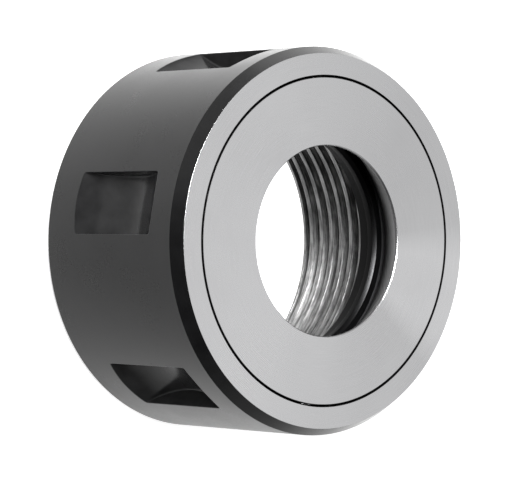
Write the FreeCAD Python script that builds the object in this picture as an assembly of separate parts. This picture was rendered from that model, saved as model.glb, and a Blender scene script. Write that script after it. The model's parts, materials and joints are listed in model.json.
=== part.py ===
import FreeCAD, Part
import math
import os

# Collet nut with a ball-bearing thrust ring, in millimetres.
# It stands on its rear, threaded end: the nut's axis is Z and the rear face lies on Z = 0.
# The +X axis runs through the middle of one spanner pocket.
# Depths are measured back from the front face, and diameters build outwards from the thread.

# Spindle thread: right-handed, of the metric profile, whose depth and root width are shares of the pitch
THREAD_DIAMETER = 48.0
THREAD_PITCH = 2.38
THREAD_DEPTH_SHARE = 0.5413
THREAD_ROOT_SHARE = 0.125
THREAD_FLANK_ANGLE = 30.0
THREAD_CUT_OVERRUN = 0.3

# The angle from +X at which a crest would meet the rear face, and the chamfers' reach beyond the major diameter
THREAD_CREST_ANGLE = 62.4
THREAD_REAR_CHAMFER = 0.25
THREAD_FRONT_CHAMFER = 0.6

# Nut body
OVERALL_LENGTH = 32.0
COUNTERBORE_SHOULDER = 1.48
RIM_WALL = 4.52
FRONT_CHAMFER_RADIAL = 1.12
FRONT_CHAMFER_LENGTH = 2.0
REAR_CHAMFER = 0.5

# Spanner pockets, each milled by a disc cutter whose axis is tangential
POCKET_COUNT = 6
POCKET_WIDTH = 9.65
POCKET_DEPTH = 3.6
POCKET_CENTRE_FROM_FRONT = 15.85
POCKET_CUTTER_DIAMETER = 28.0
POCKET_CUTTER_CORNER_RADIUS = 0.3

# Thrust ring in the body's counterbore
RING_GAP = 0.3
RING_AXIAL_PLAY = 0.3
RING_REAR_CHAMFER = 0.5
GAP_EDGE_BREAK = 0.12

# Thrust ring, inside: land, collet seat, groove, extraction lip and rear bore
FRONT_BORE_DIAMETER = 29.4
FRONT_BORE_EDGE_BREAK = 0.15
FRONT_BORE_LAND = 0.3
SEAT_HALF_ANGLE = 30.0
SEAT_REAR_DIAMETER = 36.2
GROOVE_DEPTH = 0.9
GROOVE_WIDTH = 1.6
LIP_DIAMETER = 34.6
LIP_BEVEL = 0.54
LIP_LAND = 1.0
REAR_BORE_DIAMETER = 36.6
REAR_BORE_LENGTH = 2.83
REAR_BORE_EDGE_BREAK = 0.4

# Ball row between the ring and the body
BALL_DIAMETER = 4.0
BALL_RACE_CLEARANCE = 0.03
BALL_SPACING_CLEARANCE = 0.05
RACE_FROM_FRONT = 6.0

# Filling hole and its plug, in the wall between two pockets
PLUG_CLEARANCE_OVER_BALL = 0.2
PLUG_FIT_CLEARANCE = 0.01
PLUG_RECESS = 0.18
PLUG_EDGE_BREAK = 0.15
PLUG_WALL_NUMBER = 4

# Sizes that follow from the ones above
thread_radius = THREAD_DIAMETER / 2
thread_height = THREAD_PITCH * THREAD_DEPTH_SHARE
thread_minor_radius = thread_radius - thread_height
counterbore_radius = thread_radius + COUNTERBORE_SHOULDER
outer_radius = counterbore_radius + RIM_WALL
ring_radius = counterbore_radius - RING_GAP
front_bore_radius = FRONT_BORE_DIAMETER / 2
seat_rear_radius = SEAT_REAR_DIAMETER / 2
groove_radius = seat_rear_radius + GROOVE_DEPTH
lip_radius = LIP_DIAMETER / 2
rear_bore_radius = REAR_BORE_DIAMETER / 2
seat_start = FRONT_BORE_EDGE_BREAK + FRONT_BORE_LAND
seat_end = seat_start + (seat_rear_radius - front_bore_radius) / math.tan(math.radians(SEAT_HALF_ANGLE))
lip_start = seat_end + GROOVE_WIDTH
lip_end = lip_start + LIP_BEVEL + LIP_LAND
ring_length = lip_end + REAR_BORE_LENGTH
counterbore_depth = ring_length + RING_AXIAL_PLAY
race_radius = (ring_radius + counterbore_radius) / 2
race_height = OVERALL_LENGTH - RACE_FROM_FRONT
ball_radius = BALL_DIAMETER / 2
plug_hole_radius = ball_radius + PLUG_CLEARANCE_OVER_BALL
pocket_pitch = 360 / POCKET_COUNT
plug_angle = (PLUG_WALL_NUMBER - 0.5) * pocket_pitch
axis = FreeCAD.Vector(0, 0, 1)
centre = FreeCAD.Vector(0, 0, 0)


def turned(profile):
    """A full turn of a closed profile of (radius, depth behind the front face) points."""
    points = [FreeCAD.Vector(radius, 0, OVERALL_LENGTH - depth) for radius, depth in profile]
    outline = Part.makePolygon(points + points[:1])
    return Part.Face(outline).revolve(centre, axis, 360)


def race_groove():
    """The round channel that the balls run in, cut half from the ring and half from the body."""
    groove = Part.makeTorus(race_radius, ball_radius + BALL_RACE_CLEARANCE)
    groove.translate(FreeCAD.Vector(0, 0, race_height))
    return groove


def radial_rod(radius, start, end):
    """A rod at the height of the race that points out along +X, between two distances from the axis."""
    return Part.makeCylinder(radius, end - start, FreeCAD.Vector(start, 0, race_height), FreeCAD.Vector(1, 0, 0))


def body_blank():
    """The turned body before its pockets, race and thread: outside, bore at the minor diameter, counterbore."""
    return turned([
        (counterbore_radius + GAP_EDGE_BREAK, 0),
        (outer_radius - FRONT_CHAMFER_RADIAL, 0),
        (outer_radius, FRONT_CHAMFER_LENGTH),
        (outer_radius, OVERALL_LENGTH - REAR_CHAMFER),
        (outer_radius - REAR_CHAMFER, OVERALL_LENGTH),
        (thread_radius + THREAD_REAR_CHAMFER, OVERALL_LENGTH),
        (thread_minor_radius, OVERALL_LENGTH - THREAD_REAR_CHAMFER - thread_height),
        (thread_minor_radius, counterbore_depth + THREAD_FRONT_CHAMFER + thread_height),
        (thread_radius + THREAD_FRONT_CHAMFER, counterbore_depth),
        (counterbore_radius, counterbore_depth),
        (counterbore_radius, GAP_EDGE_BREAK),
    ])


def thread_groove_turn():
    """One turn of the groove between the thread's crests, rising from Z = 0."""
    half_root = THREAD_PITCH * THREAD_ROOT_SHARE / 2
    mouth_radius = thread_minor_radius - THREAD_CUT_OVERRUN
    half_mouth = half_root + (thread_radius - mouth_radius) * math.tan(math.radians(THREAD_FLANK_ANGLE))
    section = [
        (mouth_radius, -half_mouth),
        (thread_radius, -half_root),
        (thread_radius, half_root),
        (mouth_radius, half_mouth),
    ]
    points = [FreeCAD.Vector(radius, 0, height) for radius, height in section]
    outline = Part.makePolygon(points + points[:1])
    helix = Part.makeHelix(THREAD_PITCH, THREAD_PITCH, thread_radius)
    turn = Part.Wire(helix.Edges).makePipeShell([outline], True, True)
    turn.rotate(centre, axis, THREAD_CREST_ANGLE + 180)
    return turn


def with_thread(body):
    """The body with its thread cut one turn at a time, from below the rear face up into the counterbore."""
    turn = thread_groove_turn()
    turn_count = math.ceil((OVERALL_LENGTH - counterbore_depth) / THREAD_PITCH) + 1
    for number in range(turn_count):
        groove = turn.copy()
        groove.translate(axis * (number - 1) * THREAD_PITCH)
        body = body.cut(groove)
    return body


def pocket_cutter():
    """The disc cutter with rounded corners, sunk to the pocket's depth on the +X side."""
    cutter_radius = POCKET_CUTTER_DIAMETER / 2
    cutter_axis_distance = outer_radius - POCKET_DEPTH + cutter_radius
    height = OVERALL_LENGTH - POCKET_CENTRE_FROM_FRONT
    start = FreeCAD.Vector(cutter_axis_distance, -POCKET_WIDTH / 2, height)
    disc = Part.makeCylinder(cutter_radius, POCKET_WIDTH, start, FreeCAD.Vector(0, 1, 0))
    rims = [edge for edge in disc.Edges if isinstance(edge.Curve, Part.Circle)]
    return disc.makeFillet(POCKET_CUTTER_CORNER_RADIUS, rims)


def make_nut_body():
    body = body_blank()
    for number in range(POCKET_COUNT):
        cutter = pocket_cutter()
        cutter.rotate(centre, axis, number * pocket_pitch)
        body = body.cut(cutter)
    filling_hole = radial_rod(plug_hole_radius, race_radius, outer_radius + ball_radius)
    filling_hole.rotate(centre, axis, plug_angle)
    return with_thread(body.cut(race_groove()).cut(filling_hole))


def make_thrust_ring():
    ring = turned([
        (front_bore_radius + FRONT_BORE_EDGE_BREAK, 0),
        (ring_radius - GAP_EDGE_BREAK, 0),
        (ring_radius, GAP_EDGE_BREAK),
        (ring_radius, ring_length - RING_REAR_CHAMFER),
        (ring_radius - RING_REAR_CHAMFER, ring_length),
        (rear_bore_radius + REAR_BORE_EDGE_BREAK, ring_length),
        (rear_bore_radius, ring_length - REAR_BORE_EDGE_BREAK),
        (rear_bore_radius, lip_end),
        (lip_radius, lip_end),
        (lip_radius, lip_start + LIP_BEVEL),
        (lip_radius + LIP_BEVEL, lip_start),
        (groove_radius, lip_start),
        (groove_radius, seat_end),
        (seat_rear_radius, seat_end),
        (front_bore_radius, seat_start),
        (front_bore_radius, FRONT_BORE_EDGE_BREAK),
    ])
    return ring.cut(race_groove())


def make_ball_fill_plug():
    """A pin in the filling hole: its inner end carries on the race, its outer end sits just below the outside."""
    rod = radial_rod(plug_hole_radius - PLUG_FIT_CLEARANCE, race_radius, outer_radius - PLUG_RECESS)
    outer_edge = max(rod.Edges, key=lambda edge: edge.CenterOfMass.x)
    plug = rod.makeChamfer(PLUG_EDGE_BREAK, [outer_edge])
    plug.rotate(centre, axis, plug_angle)
    counterbore = Part.makeCylinder(counterbore_radius, OVERALL_LENGTH)
    return plug.cut(counterbore).cut(race_groove())


def make_ball_row():
    """A full row of balls, evenly spread with a small clearance between neighbours."""
    half_pitch = math.asin((ball_radius + BALL_SPACING_CLEARANCE / 2) / race_radius)
    count = int(math.pi / half_pitch)
    balls = []
    for number in range(count):
        angle = 2 * math.pi * number / count
        place = FreeCAD.Vector(race_radius * math.cos(angle), race_radius * math.sin(angle), race_height)
        balls.append(Part.makeSphere(ball_radius, place))
    return balls


def main():
    os.makedirs("parts", exist_ok=True)
    pieces = {
        "nut_body": make_nut_body(),
        "thrust_ring": make_thrust_ring(),
        "ball_fill_plug": make_ball_fill_plug(),
    }
    for number, ball in enumerate(make_ball_row(), start=1):
        pieces[f"bearing_ball_{number:02d}"] = ball
    for name, shape in pieces.items():
        shape.exportStep(f"parts/{name}.step")
        print(name, "solids", len(shape.Solids), "volume", round(shape.Volume, 1), shape.isValid())


main()
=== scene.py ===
import json
import math
import bpy
from mathutils import Euler, Matrix, Vector


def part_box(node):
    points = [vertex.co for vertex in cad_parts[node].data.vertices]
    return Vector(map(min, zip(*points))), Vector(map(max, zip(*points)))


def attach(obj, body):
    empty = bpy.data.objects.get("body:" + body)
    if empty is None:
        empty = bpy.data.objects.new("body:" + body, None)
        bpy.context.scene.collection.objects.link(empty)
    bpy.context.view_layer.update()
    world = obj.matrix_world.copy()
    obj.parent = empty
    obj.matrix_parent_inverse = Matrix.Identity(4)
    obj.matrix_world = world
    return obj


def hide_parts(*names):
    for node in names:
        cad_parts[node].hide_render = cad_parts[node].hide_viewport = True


# A collet nut with a ball-bearing thrust ring, dressed in black oxide and ground steel.
# Lengths are in metres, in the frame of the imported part: the nut's axis is Z, its rear face is on Z = 0.

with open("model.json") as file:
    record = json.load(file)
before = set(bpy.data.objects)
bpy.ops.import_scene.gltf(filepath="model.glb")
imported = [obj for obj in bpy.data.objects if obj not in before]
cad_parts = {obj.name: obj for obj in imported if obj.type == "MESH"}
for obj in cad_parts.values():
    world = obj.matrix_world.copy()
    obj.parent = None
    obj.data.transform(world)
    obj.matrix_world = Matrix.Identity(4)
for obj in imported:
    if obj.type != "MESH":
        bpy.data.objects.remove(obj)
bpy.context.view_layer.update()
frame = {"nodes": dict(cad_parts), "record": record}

MM = 0.001
FULL_TURN = 2 * math.pi

# Sizes read from the frame
body_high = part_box("nut_body")[1]
ring_low, ring_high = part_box("thrust_ring")
ball_low, ball_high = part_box("bearing_ball_01")
plug_low, plug_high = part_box("ball_fill_plug")
ball_nodes = sorted(name for name in frame["nodes"] if name.startswith("bearing_ball"))
mounts = {mount["name"]: mount for mount in frame["record"]["mounts"]}

LENGTH = body_high.z
OUTER_RADIUS = body_high.x
THREAD_MINOR_RADIUS = mounts["spindle_thread"]["dims"]["r_mm"] * MM
FRONT_BORE_RADIUS = mounts["front_bore"]["dims"]["r_mm"] * MM
RING_RADIUS = ring_high.x
RING_REAR = ring_low.z
BALL_RADIUS = (ball_high.z - ball_low.z) / 2
RACE_RADIUS = (ball_high.x + ball_low.x) / 2
RACE_HEIGHT = (ball_high.z + ball_low.z) / 2
PLUG_ANGLE = math.atan2(plug_low.y + plug_high.y, plug_low.x + plug_high.x)

# Nut body
RING_GAP = 0.3 * MM
RING_AXIAL_PLAY = 0.3 * MM
COUNTERBORE_RADIUS = RING_RADIUS + RING_GAP
COUNTERBORE_FLOOR = RING_REAR - RING_AXIAL_PLAY
FRONT_CHAMFER_RADIAL = 1.12 * MM
FRONT_CHAMFER_LENGTH = 2.0 * MM
REAR_CHAMFER = 0.5 * MM
THREAD_REAR_CHAMFER = 0.25 * MM
THREAD_FRONT_CHAMFER = 0.6 * MM
RACE_CLEARANCE = 0.03 * MM
RACE_GROOVE_RADIUS = BALL_RADIUS + RACE_CLEARANCE
PLUG_HOLE_CLEARANCE = 0.2 * MM
PLUG_HOLE_RADIUS = BALL_RADIUS + PLUG_HOLE_CLEARANCE

# The edge breaks beside the gap and at the ring's rear bore are finer than the solids' own
GAP_EDGE_BREAK = 0.05 * MM
REAR_BORE_EDGE_BREAK = 0.1 * MM

# Spanner pockets and the disc cutter that mills them
POCKET_COUNT = 6
POCKET_WIDTH = 9.65 * MM
POCKET_DEPTH = 3.6 * MM
POCKET_FROM_FRONT = 15.85 * MM
POCKET_HEIGHT = LENGTH - POCKET_FROM_FRONT
POCKET_EDGE_BREAK = 0.1 * MM
CUTTER_RADIUS = 14.0 * MM
CUTTER_CORNER_RADIUS = 0.3 * MM
CUTTER_INNER_RADIUS = 8.0 * MM

# Thrust ring, inside
FRONT_BORE_EDGE_BREAK = 0.15 * MM
FRONT_BORE_LAND = 0.3 * MM
SEAT_HALF_ANGLE = math.radians(30)
SEAT_REAR_RADIUS = 18.1 * MM
GROOVE_DEPTH = 0.9 * MM
GROOVE_WIDTH = 1.6 * MM
LIP_RADIUS = 17.3 * MM
LIP_BEVEL = 0.54 * MM
LIP_LAND = 1.0 * MM
REAR_BORE_RADIUS = 18.3 * MM
RING_REAR_CHAMFER = 0.5 * MM
LAND_REAR = LENGTH - FRONT_BORE_EDGE_BREAK - FRONT_BORE_LAND
SEAT_REAR = LAND_REAR - (SEAT_REAR_RADIUS - FRONT_BORE_RADIUS) / math.tan(SEAT_HALF_ANGLE)
LIP_FRONT = SEAT_REAR - GROOVE_WIDTH
LIP_REAR = LIP_FRONT - LIP_BEVEL - LIP_LAND

# Spindle thread: a right-hand ridge that stands in from the bore's wall and fades out over a part of a turn
THREAD_PITCH = 2.38 * MM
THREAD_RADIUS = 24.0 * MM
THREAD_HEIGHT = THREAD_RADIUS - THREAD_MINOR_RADIUS
THREAD_ROOT_SHARE = 7 / 8
THREAD_CREST_SHARE = 0.4
THREAD_ROOT_WIDTH = THREAD_PITCH * THREAD_ROOT_SHARE
THREAD_CREST_WIDTH = THREAD_PITCH * THREAD_CREST_SHARE
THREAD_CREST_ROUND = 0.25 * MM
THREAD_SINK = 0.05 * MM
THREAD_END_MARGIN = 0.05 * MM
RUN_OUT_TURNS = 0.65
RUN_OUT_EASE = 0.3
LEAST_RIDGE_SCALE = 0.02

# The angle from +X at which a crest would meet the rear face
CREST_ANGLE = math.radians(62.4)

# Fineness: segments in a full turn, and steps along a rounded corner or an arc
TURNED_SEGMENTS = 360
CUTTER_SEGMENTS = 92
DRILL_SEGMENTS = 64
THREAD_SEGMENTS = 144
BALL_SEGMENTS = 32
BALL_RINGS = 20
EDGE_STEPS = 3
CUTTER_CORNER_STEPS = 6
RACE_STEPS = 20
EDGE_BREAK_SEGMENTS = 2

# Rounding: the usual radius, the bend below which a corner stays, and the most of a side that a round takes
EDGE_ROUND = 0.07 * MM
SHARPEST_KEPT = math.radians(18)
LONGEST_SETBACK = 0.45

# Curve to Mesh lays a section's heights downwards, so a section is rolled over first
ROLLED_OVER = Euler((math.pi, 0, 0))

# The weight of broad faces in shading, the seed that turns the balls, and the marks on the cut edges
BROAD_FACE_WEIGHT = 60
BALL_SEED = 7
CUT_EDGES = ("pocket_edge", "hole_edge")


# Node helpers

def feed(tree, node, feeds):
    """Sets or links a node's inputs, from pairs of an input's name or number and a value or an output."""
    for key, value in feeds:
        if isinstance(value, bpy.types.NodeSocket):
            tree.links.new(value, node.inputs[key])
        else:
            node.inputs[key].default_value = value


def add_node(tree, kind, feeds=(), **settings):
    """A new node with its settings and its inputs."""
    node = tree.nodes.new(kind)
    for name, value in settings.items():
        setattr(node, name, value)
    feed(tree, node, feeds)
    return node


def math_node(tree, operation, *values):
    """The output of a Math node."""
    return add_node(tree, "ShaderNodeMath", enumerate(values), operation=operation).outputs[0]


def vector_node(tree, operation, *values, output="Vector"):
    """An output of a Vector Math node."""
    return add_node(tree, "ShaderNodeVectorMath", enumerate(values), operation=operation).outputs[output]


def scaled(tree, vector, factor):
    """The vector times a number."""
    feeds = [(0, vector), ("Scale", factor)]
    return add_node(tree, "ShaderNodeVectorMath", feeds, operation="SCALE").outputs[0]


def joined(tree, **parts):
    """A vector with the named parts X, Y and Z, and zero for a part that isn't named."""
    return add_node(tree, "ShaderNodeCombineXYZ", parts.items()).outputs[0]


def parts_of(tree, vector):
    """The outputs X, Y and Z with a vector's parts."""
    return add_node(tree, "ShaderNodeSeparateXYZ", [(0, vector)]).outputs


def level_part(tree, place):
    """A place with its height taken out."""
    return vector_node(tree, "MULTIPLY", place, (1, 1, 0))


def axis_distance(tree, place):
    """A place's distance from the Z axis."""
    return vector_node(tree, "LENGTH", level_part(tree, place), output="Value")


def direction_out(tree, place):
    """The level direction from the Z axis to a place."""
    return vector_node(tree, "NORMALIZE", level_part(tree, place))


# Geometry Nodes helpers

def geometry_tree(name, inputs):
    """A tree that takes a geometry, the named inputs and a material, and the sockets that they come in by."""
    tree = bpy.data.node_groups.new(name, "GeometryNodeTree")
    tree.interface.new_socket("Geometry", in_out="INPUT", socket_type="NodeSocketGeometry")
    tree.interface.new_socket("Geometry", in_out="OUTPUT", socket_type="NodeSocketGeometry")
    for label, kind in [*inputs.items(), ("Material", "Material")]:
        tree.interface.new_socket(label, in_out="INPUT", socket_type="NodeSocket" + kind)
    return tree, tree.nodes.new("NodeGroupInput").outputs


def end_tree(tree, geometry, material):
    """The tree's last nodes: real geometry, smooth faces and the material."""
    real = add_node(tree, "GeometryNodeRealizeInstances", [("Geometry", geometry)])
    smooth = add_node(tree, "GeometryNodeSetShadeSmooth", [("Geometry", real.outputs[0])])
    dressed = add_node(tree, "GeometryNodeSetMaterial", [
        ("Geometry", smooth.outputs[0]), ("Material", material)])
    add_node(tree, "NodeGroupOutput", [(0, dressed.outputs[0])])
    return tree


def moved(tree, geometry, **motion):
    """The geometry after a Translation, a Rotation or both, by name."""
    return add_node(tree, "GeometryNodeTransform", [("Geometry", geometry), *motion.items()]).outputs[0]


def swept(tree, path, section, *feeds):
    """The section run along the path without tilting, its faces turned outwards."""
    upright = add_node(tree, "GeometryNodeSetCurveNormal", [("Curve", path)], mode="Z_UP")
    mesh = add_node(tree, "GeometryNodeCurveToMesh", [
        ("Curve", upright.outputs[0]), ("Profile Curve", section), *feeds])
    return add_node(tree, "GeometryNodeFlipFaces", [("Mesh", mesh.outputs[0])]).outputs[0]


def cut_away(tree, blank, tool):
    """The node that takes the tool's shape out of the blank."""
    return add_node(tree, "GeometryNodeMeshBoolean", [("Mesh 1", blank), ("Mesh 2", tool)],
                    operation="DIFFERENCE", solver="EXACT")


def marked_edges(tree, cut, from_radius, name):
    """The cut mesh, with its new edges outside that radius marked for the edge break."""
    position = add_node(tree, "GeometryNodeInputPosition").outputs[0]
    outside = math_node(tree, "GREATER_THAN", axis_distance(tree, position), from_radius)
    mark = math_node(tree, "MULTIPLY", outside, cut.outputs["Intersecting Edges"])
    stored = add_node(tree, "GeometryNodeStoreNamedAttribute", [
        ("Geometry", cut.outputs["Mesh"]), ("Name", name), ("Value", mark)], data_type="FLOAT", domain="EDGE")
    return stored.outputs[0]


# Turning

def turning_tree():
    """Turns a closed section, drawn as (radius, height), round the Z axis."""
    tree, given = geometry_tree("turning", {"Turning Radius": "Float", "Segments": "Int"})
    inward = math_node(tree, "MULTIPLY", given["Turning Radius"], -1.0)
    section = moved(tree, given["Geometry"], Translation=joined(tree, X=inward), Rotation=ROLLED_OVER)
    circle = add_node(tree, "GeometryNodeCurvePrimitiveCircle", [
        ("Resolution", given["Segments"]), ("Radius", given["Turning Radius"])])
    turned = swept(tree, circle.outputs["Curve"], section)
    return end_tree(tree, turned, given["Material"])


# Milling and drilling

def ring_of_cutters(tree, given):
    """Copies of the cutter, spread evenly round the Z axis."""
    cutter = add_node(tree, "GeometryNodeObjectInfo", [("Object", given["Cutter"])])
    points = add_node(tree, "GeometryNodePoints", [("Count", given["Copies"])])
    number = add_node(tree, "GeometryNodeInputIndex").outputs[0]
    share = math_node(tree, "DIVIDE", number, given["Copies"])
    angle = math_node(tree, "MULTIPLY", share, FULL_TURN)
    copies = add_node(tree, "GeometryNodeInstanceOnPoints", [
        ("Points", points.outputs[0]), ("Instance", cutter.outputs["Geometry"]),
        ("Rotation", joined(tree, Z=angle))])
    return add_node(tree, "GeometryNodeRealizeInstances", [("Geometry", copies.outputs[0])]).outputs[0]


def aimed_drill(tree, given):
    """A rod that is laid along X at the hole's height and swung round to its angle."""
    length = math_node(tree, "SUBTRACT", given["Hole End"], given["Hole Start"])
    middle = math_node(tree, "MULTIPLY", math_node(tree, "ADD", given["Hole End"], given["Hole Start"]), 0.5)
    rod = add_node(tree, "GeometryNodeMeshCylinder", [
        ("Vertices", DRILL_SEGMENTS), ("Radius", given["Hole Radius"]), ("Depth", length)])
    place = joined(tree, X=middle, Z=given["Hole Height"])
    laid = moved(tree, rod.outputs["Mesh"], Translation=place, Rotation=Euler((0, math.pi / 2, 0)))
    return moved(tree, laid, Rotation=joined(tree, Z=given["Hole Angle"]))


def milling_tree():
    """Mills the pockets with copies of one cutter, drills the filling hole and marks the edges of both."""
    tree, given = geometry_tree("milling", {
        "Cutter": "Object", "Copies": "Int", "Hole Radius": "Float", "Hole Start": "Float",
        "Hole End": "Float", "Hole Height": "Float", "Hole Angle": "Float", "Broken From Radius": "Float"})
    mesh = given["Geometry"]
    for tool, name in zip((ring_of_cutters(tree, given), aimed_drill(tree, given)), CUT_EDGES):
        mesh = marked_edges(tree, cut_away(tree, mesh, tool), given["Broken From Radius"], name)
    return end_tree(tree, mesh, given["Material"])


# Threading

def run_out_scale(tree, given):
    """The ridge's scale along its turns: full in the middle, and fading over the run-out to each end."""
    along = add_node(tree, "GeometryNodeSplineParameter").outputs["Factor"]
    left = math_node(tree, "SUBTRACT", 1.0, along)
    from_start, from_end = [
        math_node(tree, "DIVIDE", math_node(tree, "MULTIPLY", share, given["Turns"]), given["Run Out"])
        for share in (along, left)]
    nearest = math_node(tree, "MINIMUM", from_start, from_end)
    fade = math_node(tree, "SMOOTH_MIN", nearest, 1.0, RUN_OUT_EASE)
    return math_node(tree, "MAXIMUM", fade, LEAST_RIDGE_SCALE)


def threading_tree():
    """Runs the ridge's section up a right-hand helix and fades it out at both ends."""
    tree, given = geometry_tree("threading", {
        "Wall Radius": "Float", "Turns": "Float", "Pitch": "Float", "Start Height": "Float",
        "Start Angle": "Float", "Run Out": "Float", "Segments": "Int"})
    rise = math_node(tree, "MULTIPLY", given["Turns"], given["Pitch"])
    helix = add_node(tree, "GeometryNodeCurveSpiral", [
        ("Resolution", given["Segments"]), ("Rotations", given["Turns"]),
        ("Start Radius", given["Wall Radius"]), ("End Radius", given["Wall Radius"]),
        ("Height", rise), ("Reverse", True)])
    section = moved(tree, given["Geometry"], Rotation=ROLLED_OVER)
    ridge = swept(tree, helix.outputs[0], section, ("Scale", run_out_scale(tree, given)), ("Fill Caps", True))
    placed = moved(tree, ridge, Translation=joined(tree, Z=given["Start Height"]),
                   Rotation=joined(tree, Z=given["Start Angle"]))
    return end_tree(tree, placed, given["Material"])


# Ball row

def ball_row_tree():
    """Sets balls evenly round a circle, each turned differently so that their finish isn't aligned."""
    tree, given = geometry_tree("ball_row", {
        "Count": "Int", "Row Radius": "Float", "Row Height": "Float", "Ball Radius": "Float", "Seed": "Int"})
    circle = add_node(tree, "GeometryNodeMeshCircle", [
        ("Vertices", given["Count"]), ("Radius", given["Row Radius"])])
    lifted = moved(tree, circle.outputs[0], Translation=joined(tree, Z=given["Row Height"]))
    ball = add_node(tree, "GeometryNodeMeshUVSphere", [
        ("Segments", BALL_SEGMENTS), ("Rings", BALL_RINGS), ("Radius", given["Ball Radius"])])
    tumble = add_node(tree, "FunctionNodeRandomValue", [
        ("Max", (FULL_TURN, FULL_TURN, FULL_TURN)), ("Seed", given["Seed"])], data_type="FLOAT_VECTOR")
    row = add_node(tree, "GeometryNodeInstanceOnPoints", [
        ("Points", lifted), ("Instance", ball.outputs["Mesh"]), ("Rotation", tumble.outputs[0])])
    return end_tree(tree, row.outputs[0], given["Material"])


# Sections

def eased(points, radius, steps):
    """A closed section of (x, y) points with each corner that bends enough to show made round."""
    outline = []
    for number, (x, y) in enumerate(points):
        corner = Vector((x, y))
        before = Vector(points[number - 1]) - corner
        after = Vector(points[(number + 1) % len(points)]) - corner
        bend = math.pi - before.angle(after)
        if bend < SHARPEST_KEPT:
            outline.append(corner)
            continue
        longest = min(before.length * LONGEST_SETBACK, after.length * LONGEST_SETBACK)
        setback = min(radius * math.tan(bend / 2), longest)
        start = corner + before.normalized() * setback
        end = corner + after.normalized() * setback
        for step in range(steps + 1):
            t = step / steps
            outline.append(start * (1 - t) ** 2 + corner * 2 * t * (1 - t) + end * t ** 2)
    return outline


def section_curve(name, points, radius, steps=EDGE_STEPS):
    """A closed curve of straight spans through the section's points, its corners eased."""
    outline = eased(points, radius, steps)
    curve = bpy.data.curves.new(name, "CURVE")
    curve.dimensions = "3D"
    spline = curve.splines.new("POLY")
    spline.points.add(len(outline) - 1)
    for point, (x, y) in zip(spline.points, outline):
        point.co = (x, y, 0, 1)
    spline.use_cyclic_u = True
    return curve


def race_arc(radius, inward):
    """The race groove's points where it crosses a wall of that radius, from the lower side to the upper."""
    reach = math.sqrt(RACE_GROOVE_RADIUS ** 2 - (radius - RACE_RADIUS) ** 2)
    half = math.atan2(reach, (RACE_RADIUS - radius) if inward else (radius - RACE_RADIUS))
    side = -1 if inward else 1
    arc = []
    for step in range(RACE_STEPS + 1):
        angle = -half + 2 * half * step / RACE_STEPS
        arc.append((RACE_RADIUS + side * RACE_GROOVE_RADIUS * math.cos(angle),
                    RACE_HEIGHT + RACE_GROOVE_RADIUS * math.sin(angle)))
    return arc


def body_section():
    """The nut body's half section, anticlockwise in (radius, height)."""
    return [
        (THREAD_RADIUS + THREAD_REAR_CHAMFER, 0),
        (OUTER_RADIUS - REAR_CHAMFER, 0),
        (OUTER_RADIUS, REAR_CHAMFER),
        (OUTER_RADIUS, LENGTH - FRONT_CHAMFER_LENGTH),
        (OUTER_RADIUS - FRONT_CHAMFER_RADIAL, LENGTH),
        (COUNTERBORE_RADIUS + GAP_EDGE_BREAK, LENGTH),
        (COUNTERBORE_RADIUS, LENGTH - GAP_EDGE_BREAK),
        *reversed(race_arc(COUNTERBORE_RADIUS, inward=False)),
        (COUNTERBORE_RADIUS, COUNTERBORE_FLOOR),
        (THREAD_RADIUS + THREAD_FRONT_CHAMFER, COUNTERBORE_FLOOR),
        (THREAD_RADIUS, COUNTERBORE_FLOOR - THREAD_FRONT_CHAMFER),
        (THREAD_RADIUS, THREAD_REAR_CHAMFER),
    ]


def ring_section():
    """The thrust ring's half section, anticlockwise in (radius, height)."""
    return [
        (REAR_BORE_RADIUS + REAR_BORE_EDGE_BREAK, RING_REAR),
        (RING_RADIUS - RING_REAR_CHAMFER, RING_REAR),
        (RING_RADIUS, RING_REAR + RING_REAR_CHAMFER),
        *race_arc(RING_RADIUS, inward=True),
        (RING_RADIUS, LENGTH - GAP_EDGE_BREAK),
        (RING_RADIUS - GAP_EDGE_BREAK, LENGTH),
        (FRONT_BORE_RADIUS + FRONT_BORE_EDGE_BREAK, LENGTH),
        (FRONT_BORE_RADIUS, LENGTH - FRONT_BORE_EDGE_BREAK),
        (FRONT_BORE_RADIUS, LAND_REAR),
        (SEAT_REAR_RADIUS, SEAT_REAR),
        (SEAT_REAR_RADIUS + GROOVE_DEPTH, SEAT_REAR),
        (SEAT_REAR_RADIUS + GROOVE_DEPTH, LIP_FRONT),
        (LIP_RADIUS + LIP_BEVEL, LIP_FRONT),
        (LIP_RADIUS, LIP_FRONT - LIP_BEVEL),
        (LIP_RADIUS, LIP_REAR),
        (REAR_BORE_RADIUS, LIP_REAR),
        (REAR_BORE_RADIUS, RING_REAR + REAR_BORE_EDGE_BREAK),
    ]


def cutter_section():
    """The disc cutter's section from its open middle out to its rim, anticlockwise in (radius, height)."""
    half_width = POCKET_WIDTH / 2
    return [
        (CUTTER_INNER_RADIUS, -half_width),
        (CUTTER_RADIUS, -half_width),
        (CUTTER_RADIUS, half_width),
        (CUTTER_INNER_RADIUS, half_width),
    ]


def thread_section():
    """The ridge's section from the wall inwards, anticlockwise, with its origin on the wall."""
    return [
        (THREAD_SINK, -THREAD_ROOT_WIDTH / 2),
        (THREAD_SINK, THREAD_ROOT_WIDTH / 2),
        (0, THREAD_ROOT_WIDTH / 2),
        (-THREAD_HEIGHT, THREAD_CREST_WIDTH / 2),
        (-THREAD_HEIGHT, -THREAD_CREST_WIDTH / 2),
        (0, -THREAD_ROOT_WIDTH / 2),
    ]


# Objects and meshes

def new_object(name, data):
    """An object in the scene, made of the data."""
    thing = bpy.data.objects.new(name, data)
    bpy.context.scene.collection.objects.link(thing)
    return thing


def evaluated_mesh(thing):
    """The plain mesh that an object's modifiers make."""
    depsgraph = bpy.context.evaluated_depsgraph_get()
    return bpy.data.meshes.new_from_object(thing.evaluated_get(depsgraph))


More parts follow.
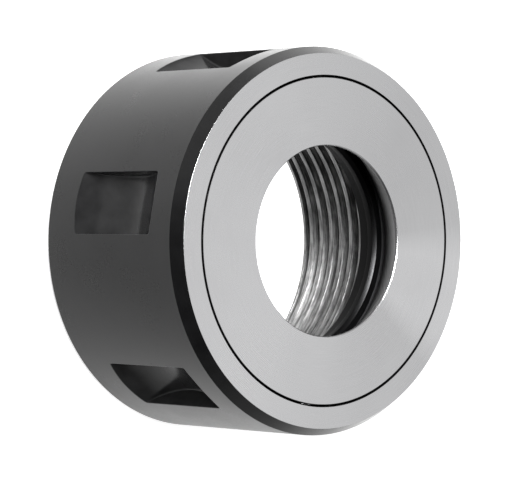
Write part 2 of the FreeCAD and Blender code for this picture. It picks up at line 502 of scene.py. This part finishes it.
def grown(name, data, tree, sizes):
    """An object whose mesh is what the tree makes of the data and the named sizes."""
    seed = new_object(name + "_seed", data)
    modifier = seed.modifiers.new(tree.name, "NODES")
    modifier.node_group = tree
    for socket in tree.interface.items_tree:
        if socket.in_out == "INPUT" and socket.name in sizes:
            modifier[socket.identifier] = sizes[socket.name]
    mesh = evaluated_mesh(seed)
    bpy.data.objects.remove(seed)
    mesh.name = name
    return new_object(name, mesh)


def bake(piece):
    """Makes the piece's modifiers part of its mesh."""
    mesh = evaluated_mesh(piece)
    piece.modifiers.clear()
    piece.data = mesh


def true_normals(piece):
    """Shading that keeps broad faces true and lets the small edge rounds turn between them."""
    modifier = piece.modifiers.new("true_normals", "WEIGHTED_NORMAL")
    modifier.weight = BROAD_FACE_WEIGHT
    modifier.keep_sharp = False
    bake(piece)


def break_cut_edges(body):
    """Bevels the edges that the cutter and the drill left on the outside."""
    weights = body.data.attributes.new("bevel_weight_edge", "FLOAT", "EDGE")
    for name in CUT_EDGES:
        for number, mark in enumerate(body.data.attributes[name].data):
            if mark.value > 0.5:
                weights.data[number].value = 1.0
    broken = body.modifiers.new("broken_edges", "BEVEL")
    broken.limit_method = "WEIGHT"
    broken.width = POCKET_EDGE_BREAK
    broken.segments = EDGE_BREAK_SEGMENTS
    broken.use_clamp_overlap = False
    bake(body)


def finish_faces(piece, materials, names, choose):
    """Gives each face the one of the named materials that choose picks for its middle's radius and height."""
    piece.data.materials.clear()
    for name in names:
        piece.data.materials.append(materials[name])
    for face in piece.data.polygons:
        radius = math.hypot(face.center.x, face.center.y)
        face.material_index = names.index(choose(radius, face.center.z))


# Material helpers

def new_material(name):
    """A material, its nodes, its Principled shader and its Object coordinates."""
    material = bpy.data.materials.new(name)
    material.use_nodes = True
    tree = material.node_tree
    place = add_node(tree, "ShaderNodeTexCoord").outputs["Object"]
    return material, tree, tree.nodes["Principled BSDF"], place


def noise(tree, vector, scale, detail, roughness=0.5):
    """A noise's value at that many cells a metre."""
    return add_node(tree, "ShaderNodeTexNoise", [
        ("Vector", vector), ("Scale", scale), ("Detail", detail), ("Roughness", roughness)]).outputs["Fac"]


def turned_noise(tree, place, across, around, detail, roughness=0.5):
    """Noise drawn out round the axis: so many cells a metre out and up, and so many a radian round."""
    spread = parts_of(tree, scaled(tree, direction_out(tree, place), around))
    out = math_node(tree, "MULTIPLY", axis_distance(tree, place), across)
    up = math_node(tree, "MULTIPLY", parts_of(tree, place)["Z"], across)
    cells = joined(tree, X=spread["X"], Y=spread["Y"], Z=math_node(tree, "ADD", out, up))
    return noise(tree, cells, 1.0, detail, roughness)


def blended(tree, first, second, share):
    """That share of the first value and the rest of the second."""
    parts = (math_node(tree, "MULTIPLY", first, share), math_node(tree, "MULTIPLY", second, 1 - share))
    return math_node(tree, "ADD", *parts)


def between(tree, value, low, high, start=0.3, end=0.7):
    """The value's range from start to end spread from low to high, and flat beyond it."""
    node = add_node(tree, "ShaderNodeMapRange", [
        ("Value", value), ("From Min", start), ("From Max", end), ("To Min", low), ("To Max", high)])
    return node.outputs[0]


def tone(tree, value, dark, light, start=0.3, end=0.7):
    """The colour between dark and light that the value's place between start and end gives."""
    share = between(tree, value, 0.0, 1.0, start, end)
    return add_node(tree, "ShaderNodeMix", [
        ("Factor", share), ("A", (*dark, 1)), ("B", (*light, 1))], data_type="RGBA").outputs["Result"]


def stepped(tree, value, stops):
    """The level at that value along a chain of (value, level) stops, flat beyond both ends."""
    first, last = stops[0][0], stops[-1][0]
    node = add_node(tree, "ShaderNodeValToRGB", [("Fac", between(tree, value, 0.0, 1.0, first, last))])
    elements = node.color_ramp.elements
    while len(elements) < len(stops):
        elements.new(0.5)
    # The levels wait until every stop is in its place, because a stop that moves can change its number
    for element, (position, _) in zip(elements, stops):
        element.position = (position - first) / (last - first)
    for element, (_, worn_and_shaded) in zip(elements, stops):
        element.color = (worn_and_shaded, worn_and_shaded, worn_and_shaded, 1)
    return node.outputs["Color"]


def tangent_round(tree, place):
    """The direction of the turning marks at each point."""
    return vector_node(tree, "CROSS_PRODUCT", (0, 0, 1), place)


def bump(tree, height, strength, distance, under=None):
    """The normal of a bumped surface, over another bump's normal where one is given."""
    node = add_node(tree, "ShaderNodeBump", [
        ("Strength", strength), ("Distance", distance), ("Height", height)])
    if under is not None:
        feed(tree, node, [("Normal", under)])
    return node.outputs[0]


# Materials

# The index of refraction sets how much the oxide shines, which is less in the pockets
OXIDE_IOR = 1.38
POCKET_IOR = 1.24

# Ground steel, a painted sheen: the side its fan of lighter tone faces, (nearness to that side, level) stops,
# and a painted slope from darker at -Y to lighter at +Y
PAINTED_SHEEN_SIDE = (-0.99, 0.139, 0)
PAINTED_FACE_SHEEN = [(-1.0, 0.94), (-0.6, 0.91), (0.0, 0.82), (0.85, 0.77), (0.91, 0.78), (0.975, 0.93)]
PAINTED_SHEEN_SLOPE = (0.94, 1.06)

# Thread: (depth from the crests, level) stops for its wear, and (height, level) stops for a painted shade,
# darkest at its front end under the ring
THREAD_WEAR = [(0.0, 0.13), (0.00008, 0.15), (0.0002, 0.27), (0.0006, 0.15), (0.0012, 0.1)]
THREAD_PAINTED_SHADE = [(0.0, 0.8), (0.006, 0.9), (0.013, 1.0), (0.0176, 0.9), (0.0180, 0.35)]

# Thread, a painted highlight that lightens the +Y side of its rear end: the gain, and the stretches of Y and
# Z it changes over
PAINTED_HIGHLIGHT_GAIN = 1.5
PAINTED_HIGHLIGHT_SIDE = (-0.006, 0.002)
PAINTED_HIGHLIGHT_END = (0.004, 0.009)

# Thread, its streaks: the darkest and lightest, and the stretch of the noise that they spread over
STREAK_DARK = (0.5, 0.5, 0.5)
STREAK_LIGHT = (1.35, 1.35, 1.35)
STREAK_RANGE = (0.42, 0.58)


def black_oxide():
    """Satin black oxide over fine turning: a soft mottle, fine grain and faint lines round the nut."""
    material, tree, shader, place = new_material("black_oxide_steel")
    mottle = noise(tree, place, 160, detail=4)
    grain = noise(tree, place, 2600, detail=2)
    lines = turned_noise(tree, place, across=5200, around=6, detail=2)
    blend = blended(tree, mottle, grain, 0.6)
    fine = bump(tree, grain, strength=0.12, distance=0.01 * MM)
    feed(tree, shader, [
        ("Base Color", tone(tree, blend, dark=(0.004, 0.004, 0.0042), light=(0.009, 0.009, 0.0094))),
        ("Roughness", between(tree, blend, low=0.26, high=0.34)),
        ("IOR", OXIDE_IOR),
        ("Normal", bump(tree, lines, strength=0.15, distance=0.01 * MM, under=fine))])
    return material


def chamfer_oxide():
    """The front chamfer: the same oxide over a smooth cut, so deeper black and glossier."""
    material, tree, shader, place = new_material("chamfer_oxide")
    mottle = noise(tree, place, 260, detail=4)
    lines = turned_noise(tree, place, across=7000, around=5, detail=2)
    feed(tree, shader, [
        ("Base Color", tone(tree, mottle, dark=(0.003, 0.003, 0.0032), light=(0.006, 0.006, 0.0063))),
        ("Roughness", between(tree, mottle, low=0.15, high=0.21)),
        ("IOR", OXIDE_IOR),
        ("Normal", bump(tree, lines, strength=0.1, distance=0.006 * MM))])
    return material


def milled_pocket():
    """The pockets' oxide, paler but less shiny, with faint cutter marks that run up the floor."""
    material, tree, shader, place = new_material("milled_pocket")
    mottle = noise(tree, place, 300, detail=3)
    marks = turned_noise(tree, place, across=40, around=170, detail=2)
    feed(tree, shader, [
        ("Base Color", tone(tree, mottle, dark=(0.012, 0.012, 0.0124), light=(0.022, 0.022, 0.0226))),
        ("Roughness", between(tree, marks, low=0.15, high=0.2)),
        ("IOR", POCKET_IOR),
        ("Normal", bump(tree, marks, strength=0.03, distance=0.01 * MM))])
    return material


def ground_steel(name, dark, light, smoothest, roughest):
    """Steel ground as it turned: fine rings, soft sectors and a brushed highlight, with a painted sheen in a
    fan and darker towards -Y.
    """
    material, tree, shader, place = new_material(name)
    rings = turned_noise(tree, place, across=9000, around=5, detail=3, roughness=0.6)
    sectors = turned_noise(tree, place, across=60, around=1.6, detail=2)
    blend = blended(tree, rings, sectors, 0.5)
    # A painted sheen: a fan of lighter tone round the axis, times a painted slope, darker towards -Y
    direction = direction_out(tree, place)
    facing = vector_node(tree, "DOT_PRODUCT", direction, PAINTED_SHEEN_SIDE, output="Value")
    painted_slope = between(tree, parts_of(tree, direction)["Y"], *PAINTED_SHEEN_SLOPE, start=-1.0, end=1.0)
    painted_sheen = scaled(tree, stepped(tree, facing, PAINTED_FACE_SHEEN), painted_slope)
    feed(tree, shader, [
        ("Base Color", vector_node(tree, "MULTIPLY", tone(tree, blend, dark, light), painted_sheen)),
        ("Roughness", between(tree, blend, roughest, smoothest)),
        ("Metallic", 1.0),
        ("Anisotropic", 0.45),
        ("Tangent", tangent_round(tree, place)),
        ("Normal", bump(tree, rings, strength=0.1, distance=0.008 * MM))])
    return material


def dark_bore(name, dark, light):
    """Blackened steel inside the nut, matt from the tool."""
    material, tree, shader, place = new_material(name)
    rings = turned_noise(tree, place, across=4000, around=6, detail=3)
    feed(tree, shader, [
        ("Base Color", tone(tree, rings, dark, light)),
        ("Roughness", between(tree, rings, low=0.4, high=0.5)),
        ("Specular IOR Level", 0.05),
        ("Normal", bump(tree, rings, strength=0.25, distance=0.02 * MM))])
    return material


def thread_steel():
    """Thread steel: dull on the crests' lands, rubbed bright in streaks beside them and dark in the roots,
    with a painted shade towards its ends, most under the ring, and a painted highlight on the +Y side of its
    rear end.
    """
    material, tree, shader, place = new_material("thread_steel")
    streaks = turned_noise(tree, place, across=2200, around=6, detail=4, roughness=0.65)
    rub = blended(tree, streaks, noise(tree, place, 700, detail=3), 0.8)
    depth = math_node(tree, "SUBTRACT", axis_distance(tree, place), THREAD_MINOR_RADIUS)
    sides = parts_of(tree, place)
    worn = stepped(tree, depth, THREAD_WEAR)
    # Wear times a painted shade along the height, darkest at the front end under the ring
    worn_and_shaded = math_node(tree, "MULTIPLY", worn, stepped(tree, sides["Z"], THREAD_PAINTED_SHADE))
    # A painted highlight, lighter on the +Y side of the rear end
    painted_highlight_side = between(tree, sides["Y"], 0.0, 1.0, *PAINTED_HIGHLIGHT_SIDE)
    painted_highlight_end = between(tree, sides["Z"], PAINTED_HIGHLIGHT_GAIN, 0.0, *PAINTED_HIGHLIGHT_END)
    with_painted_highlight = math_node(tree, "MULTIPLY", worn_and_shaded, math_node(tree, "MULTIPLY_ADD", painted_highlight_side, painted_highlight_end, 1.0))
    streak = tone(tree, rub, STREAK_DARK, STREAK_LIGHT, *STREAK_RANGE)
    feed(tree, shader, [
        ("Base Color", vector_node(tree, "MULTIPLY", with_painted_highlight, streak)),
        ("Roughness", between(tree, rub, low=0.42, high=0.3)),
        ("Metallic", 0.85),
        ("Normal", bump(tree, rub, strength=0.35, distance=0.05 * MM))])
    return material


def polished_steel():
    """Bearing balls: bright, with the faintest haze of fine scratches."""
    material, tree, shader, place = new_material("bearing_steel")
    haze = noise(tree, place, 1800, detail=5, roughness=0.7)
    feed(tree, shader, [
        ("Base Color", tone(tree, haze, dark=(0.60, 0.60, 0.61), light=(0.72, 0.72, 0.73))),
        ("Roughness", between(tree, haze, low=0.06, high=0.14)),
        ("Metallic", 1.0),
        ("Normal", bump(tree, haze, strength=0.03, distance=0.005 * MM))])
    return material


def plug_steel():
    """The plug: pressed in just below the outside and blackened with the body, but a little brighter."""
    material, tree, shader, place = new_material("plug_steel")
    mottle = noise(tree, place, 700, detail=4)
    feed(tree, shader, [
        ("Base Color", tone(tree, mottle, dark=(0.018, 0.018, 0.0185), light=(0.035, 0.035, 0.036))),
        ("Roughness", between(tree, mottle, low=0.28, high=0.4)),
        ("Metallic", 0.3),
        ("Normal", bump(tree, mottle, strength=0.2, distance=0.01 * MM))])
    return material


def make_materials():
    """Every finish of the nut by its short name; the ring's grow darker from its face back to its bore, the
    land's and the seat's as painted shade.
    """
    return {
        "oxide": black_oxide(),
        "chamfer": chamfer_oxide(),
        "pocket": milled_pocket(),
        "face": ground_steel("ground_steel", (0.66, 0.66, 0.67), (0.76, 0.76, 0.77), 0.22, 0.32),
        # The land and the seat are ground steel with dark tones, a painted shade inside the bore
        "land": ground_steel("ground_land", (0.14, 0.14, 0.143), (0.2, 0.2, 0.204), 0.3, 0.4),
        "seat": ground_steel("ground_seat", (0.05, 0.05, 0.052), (0.08, 0.08, 0.083), 0.3, 0.4),
        "bevel": ground_steel("turned_bevel", (0.012, 0.012, 0.0125), (0.035, 0.035, 0.036), 0.24, 0.34),
        "groove": dark_bore("blackened_groove", (0.03, 0.03, 0.031), (0.05, 0.05, 0.052)),
        "bore": dark_bore("blackened_bore", (0.002, 0.002, 0.0022), (0.005, 0.005, 0.0053)),
        "thread": thread_steel(),
        "ball": polished_steel(),
        "plug": plug_steel(),
    }


# Pieces

def body_finish(radius, height):
    """The finish of the nut body where its surface has that radius and height."""
    if height > LENGTH - EDGE_ROUND and radius < OUTER_RADIUS - FRONT_CHAMFER_RADIAL:
        return "face" if radius > COUNTERBORE_RADIUS + GAP_EDGE_BREAK + EDGE_ROUND / 2 else "bore"
    if radius < THREAD_RADIUS + THREAD_REAR_CHAMFER and height < COUNTERBORE_FLOOR:
        return "thread"
    if height > LENGTH - FRONT_CHAMFER_LENGTH + EDGE_ROUND:
        return "bore" if radius < COUNTERBORE_RADIUS + EDGE_ROUND else "chamfer"
    if radius < OUTER_RADIUS - POCKET_EDGE_BREAK and height > REAR_CHAMFER + EDGE_ROUND:
        return "bore" if radius < OUTER_RADIUS - POCKET_DEPTH - EDGE_ROUND else "pocket"
    return "oxide"


def ring_finish(radius, height):
    """The finish of the thrust ring where its surface has that radius and height."""
    face_edge = RING_RADIUS - GAP_EDGE_BREAK
    if height > LENGTH - FRONT_BORE_EDGE_BREAK - EDGE_ROUND / 2 and radius < face_edge - EDGE_ROUND / 2:
        return "face"
    if height > LAND_REAR and radius < face_edge:
        return "land"
    if radius < SEAT_REAR_RADIUS and height > SEAT_REAR:
        return "seat"
    if radius < RING_RADIUS - RACE_GROOVE_RADIUS and LIP_FRONT < height <= SEAT_REAR:
        return "groove"
    if LIP_FRONT - LIP_BEVEL <= height <= LIP_FRONT and radius < LIP_RADIUS + LIP_BEVEL:
        return "bevel"
    return "bore"


def make_pocket_cutter(turning, materials):
    """The disc cutter, its axis along Y, sunk to the pocket's depth on the +X side."""
    section = section_curve("cutter_section", cutter_section(), CUTTER_CORNER_RADIUS, CUTTER_CORNER_STEPS)
    cutter = grown("pocket_cutter", section, turning, {
        "Turning Radius": CUTTER_RADIUS, "Segments": CUTTER_SEGMENTS, "Material": materials["pocket"]})
    centre = Vector((OUTER_RADIUS - POCKET_DEPTH + CUTTER_RADIUS, 0, POCKET_HEIGHT))
    cutter.data.transform(Matrix.Translation(centre) @ Matrix.Rotation(math.pi / 2, 4, "X"))
    return cutter


def make_nut_body(turning, materials):
    """The turned body, milled, drilled and with its cut edges broken; the thread is a piece of its own."""
    section = section_curve("body_section", body_section(), EDGE_ROUND)
    blank = grown("nut_body_blank", section, turning, {
        "Turning Radius": THREAD_RADIUS, "Segments": TURNED_SEGMENTS, "Material": materials["oxide"]})
    cutter = make_pocket_cutter(turning, materials)
    body = grown("nut_body_turned", blank.data, milling_tree(), {
        "Cutter": cutter, "Copies": POCKET_COUNT, "Hole Radius": PLUG_HOLE_RADIUS, "Hole Start": RACE_RADIUS,
        "Hole End": OUTER_RADIUS + BALL_RADIUS, "Hole Height": RACE_HEIGHT, "Hole Angle": PLUG_ANGLE,
        "Broken From Radius": COUNTERBORE_RADIUS + RACE_GROOVE_RADIUS, "Material": materials["oxide"]})
    bpy.data.objects.remove(blank)
    bpy.data.objects.remove(cutter)
    break_cut_edges(body)
    true_normals(body)
    finish_faces(body, materials, ("oxide", "face", "chamfer", "thread", "pocket", "bore"), body_finish)
    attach(body, "nut_body")
    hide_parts("nut_body")


def make_thrust_ring(turning, materials):
    """The turned ring: face, land, collet seat, groove, extraction lip and rear bore."""
    section = section_curve("ring_section", ring_section(), EDGE_ROUND)
    ring = grown("thrust_ring_turned", section, turning, {
        "Turning Radius": REAR_BORE_RADIUS, "Segments": TURNED_SEGMENTS, "Material": materials["face"]})
    true_normals(ring)
    finish_faces(ring, materials, ("face", "land", "seat", "bevel", "groove", "bore"), ring_finish)
    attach(ring, "thrust_ring")
    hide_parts("thrust_ring")


def make_spindle_thread(materials):
    """The thread's ridge, from just above the rear face to just below the thread's front chamfer."""
    section = section_curve("thread_section", thread_section(), THREAD_CREST_ROUND)
    start_angle = CREST_ANGLE + FULL_TURN * THREAD_END_MARGIN / THREAD_PITCH
    turns = (COUNTERBORE_FLOOR - THREAD_FRONT_CHAMFER - 2 * THREAD_END_MARGIN) / THREAD_PITCH
    thread = grown("spindle_thread", section, threading_tree(), {
        "Wall Radius": THREAD_RADIUS, "Turns": turns, "Pitch": THREAD_PITCH,
        "Start Height": THREAD_END_MARGIN, "Start Angle": start_angle, "Run Out": RUN_OUT_TURNS,
        "Segments": THREAD_SEGMENTS, "Material": materials["thread"]})
    true_normals(thread)
    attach(thread, "nut_body")


def make_ball_row(materials):
    """The full row of bearing balls between the ring and the body."""
    row = grown("ball_row", bpy.data.meshes.new("ball_row_seed"), ball_row_tree(), {
        "Count": len(ball_nodes), "Row Radius": RACE_RADIUS, "Row Height": RACE_HEIGHT,
        "Ball Radius": BALL_RADIUS, "Seed": BALL_SEED, "Material": materials["ball"]})
    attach(row, "ball_row")
    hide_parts(*ball_nodes)


def dress_plug(materials):
    """Gives the filling plug, the one solid that shows as it was packed, its finish."""
    frame["nodes"]["ball_fill_plug"].material_slots[0].material = materials["plug"]


# Floor

FLOOR_SIZE = 4.0
FLOOR_DROP = 0.02 * MM
FLOOR_TONE = (0.5, 0.5, 0.5, 1)

# The floor's painted light, a glow that is no lamp: a strength that falls over a stretch of X, times the (Y,
# share) stops
PAINTED_GLOW_STRENGTH = (1.5, 0.5)
PAINTED_GLOW_STRETCH = (0.010, 0.040)
FLOOR_PAINTED_GLOW = [(-0.13, 0.7), (-0.06, 1.0), (-0.01, 1.0), (0.012, 0.6), (0.045, 0.6), (0.13, 0.03)]


def pale_floor():
    """A matt pale surface with an uneven painted glow: strongest at low X just on the -Y side, and almost
    nothing far out on +Y.
    """
    material, tree, shader, place = new_material("pale_floor")
    sides = parts_of(tree, place)
    painted_glow = between(tree, sides["X"], *PAINTED_GLOW_STRENGTH, *PAINTED_GLOW_STRETCH)
    feed(tree, shader, [
        ("Base Color", FLOOR_TONE),
        ("Roughness", 0.9),
        ("Specular IOR Level", 0.0),
        ("Emission Color", (1, 1, 1, 1)),
        ("Emission Strength", math_node(tree, "MULTIPLY", painted_glow, stepped(tree, sides["Y"], FLOOR_PAINTED_GLOW)))])
    return material


def make_floor():
    """A wide floor just below the rear face that the nut stands on."""
    half = FLOOR_SIZE / 2
    mesh = bpy.data.meshes.new("floor")
    corners = [(-half, -half, 0), (half, -half, 0), (half, half, 0), (-half, half, 0)]
    mesh.from_pydata(corners, [], [(0, 1, 2, 3)])
    mesh.materials.append(pale_floor())
    floor = new_object("floor", mesh)
    floor.location.z = -FLOOR_DROP


# Light

# The room: where its dark side lies, its two tones, and the nearness to that side over which they change
DARK_SIDE = (0.7, 0.75, 0.3)
ROOM_PALE = (0.62, 0.62, 0.62)
ROOM_DARK = (0.10, 0.10, 0.10)
DARK_NEARNESS = (0.5, 0.8)

# The room's strength, low down and at the ceiling, and the heights over which it falls
ROOM_STRENGTH = (1.0, 0.2)
CEILING_HEIGHTS = (0.35, 0.75)


def make_room():
    """A pale room with a dark side and a dark ceiling."""
    world = bpy.data.worlds.new("studio")
    bpy.context.scene.world = world
    world.use_nodes = True
    tree = world.node_tree
    direction = add_node(tree, "ShaderNodeTexCoord").outputs["Generated"]
    nearness = vector_node(tree, "DOT_PRODUCT", direction, Vector(DARK_SIDE).normalized(), output="Value")
    height = parts_of(tree, direction)["Z"]
    feed(tree, tree.nodes["Background"], [
        ("Color", tone(tree, nearness, ROOM_PALE, ROOM_DARK, *DARK_NEARNESS)),
        ("Strength", between(tree, height, *ROOM_STRENGTH, *CEILING_HEIGHTS))])


def make_softbox(name, direction, distance, width, height, radiance):
    """A rectangular area light that faces the nut's middle."""
    light = bpy.data.lights.new(name, "AREA")
    light.shape = "RECTANGLE"
    light.size = width
    light.size_y = height
    light.energy = radiance * math.pi * width * height
    lamp = new_object(name, light)
    out = Vector(direction).normalized()
    lamp.location = Vector((0, 0, LENGTH / 2)) + out * distance
    lamp.rotation_euler = out.to_track_quat("Z", "Y").to_euler()
    lamp.visible_camera = False


def make_lights():
    """The room and its soft lights: over the face, over the bore and beside the nut."""
    make_room()
    make_softbox("face_softbox", (-0.65, -0.12, 0.75), distance=0.6, width=0.8, height=0.8, radiance=0.66)
    make_softbox("bore_softbox", (0.52, -0.29, 0.80), distance=0.5, width=0.23, height=0.15, radiance=36.0)
    make_softbox("side_softbox", (0.64, -0.77, 0.1), distance=0.5, width=0.6, height=0.12, radiance=0.3)


# Camera

# The photograph's view: the camera's place, its axes in the part's frame, and the lens for its narrow angle
CAMERA_PLACE = Vector((293.84, 55.35, 357.1)) * MM
CAMERA_RIGHT = Vector((-0.7370, -0.1481, 0.6595))
CAMERA_UP = Vector((0.1917, -0.9815, -0.0062))
CAMERA_BACK = Vector((0.6482, 0.1219, 0.7517))
CAMERA_LENS = 198.07
CAMERA_SENSOR = 36.0
CAMERA_NEAR = 0.05
CAMERA_FAR = 20.0


def make_camera():
    """The camera with the photograph's view of the nut."""
    data = bpy.data.cameras.new("camera")
    data.lens = CAMERA_LENS
    data.sensor_width = CAMERA_SENSOR
    data.clip_start = CAMERA_NEAR
    data.clip_end = CAMERA_FAR
    camera = new_object("camera", data)
    turn = Matrix((CAMERA_RIGHT, CAMERA_UP, CAMERA_BACK)).transposed().to_4x4()
    camera.matrix_world = Matrix.Translation(CAMERA_PLACE) @ turn
    bpy.context.scene.camera = camera


def main():
    """Makes the nut's pieces, then the floor, lights and camera that show them."""
    turning = turning_tree()
    materials = make_materials()
    make_nut_body(turning, materials)
    make_thrust_ring(turning, materials)
    make_spindle_thread(materials)
    make_ball_row(materials)
    dress_plug(materials)
    make_floor()
    make_lights()
    make_camera()
    bpy.context.scene.view_settings.view_transform = "Standard"


main()
